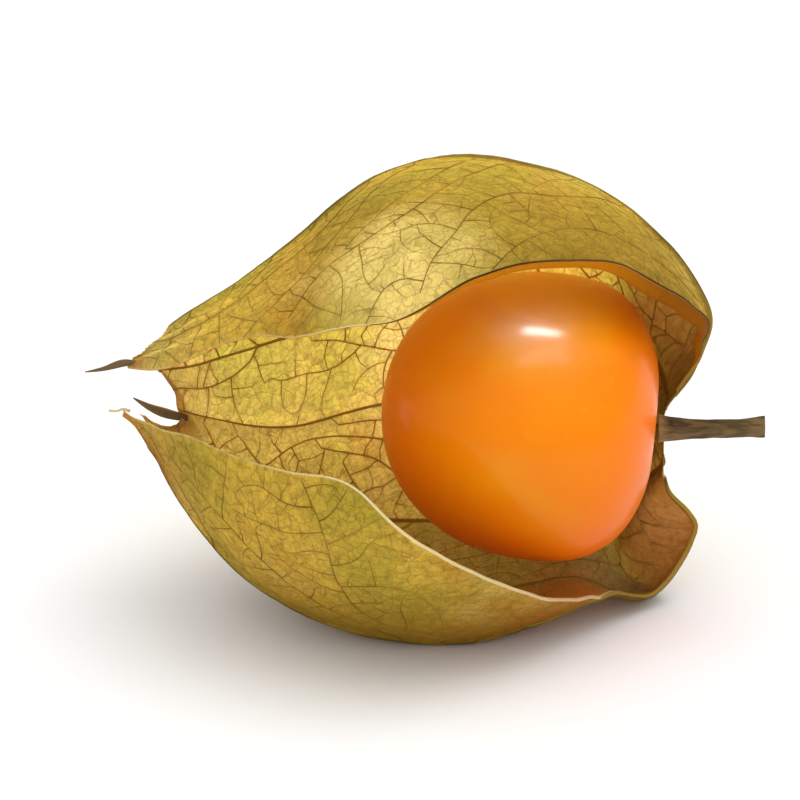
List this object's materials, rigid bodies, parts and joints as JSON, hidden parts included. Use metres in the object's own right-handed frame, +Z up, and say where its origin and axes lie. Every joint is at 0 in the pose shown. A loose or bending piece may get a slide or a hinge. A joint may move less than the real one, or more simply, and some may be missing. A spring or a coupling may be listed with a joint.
{
  "type": "physalis berry",
  "caption": "Round ripe physalis berry lying inside its dried papery husk, which is torn open at one side and rests on its belly, with a short cut stalk.",
  "frame": {"origin": "the point on the resting surface under the middle of the fruit's box", "axes": "+X along the fruit's axis towards the stalk, -X towards the husk's pointed tips, -Y out of the torn opening, +Z up"},
  "size_m": [0.0488, 0.0338, 0.0326],
  "materials": {
    "berry_skin": "smooth, waxy gloss",
    "husk_paper": "dry, papery, matte and a little translucent",
    "stalk_bark": "dry and ridged"
  },
  "bodies": {
    "root": {"berry": "berry_skin", "husk": "husk_paper", "stalk": "stalk_bark"}
  },
  "joints": []
}
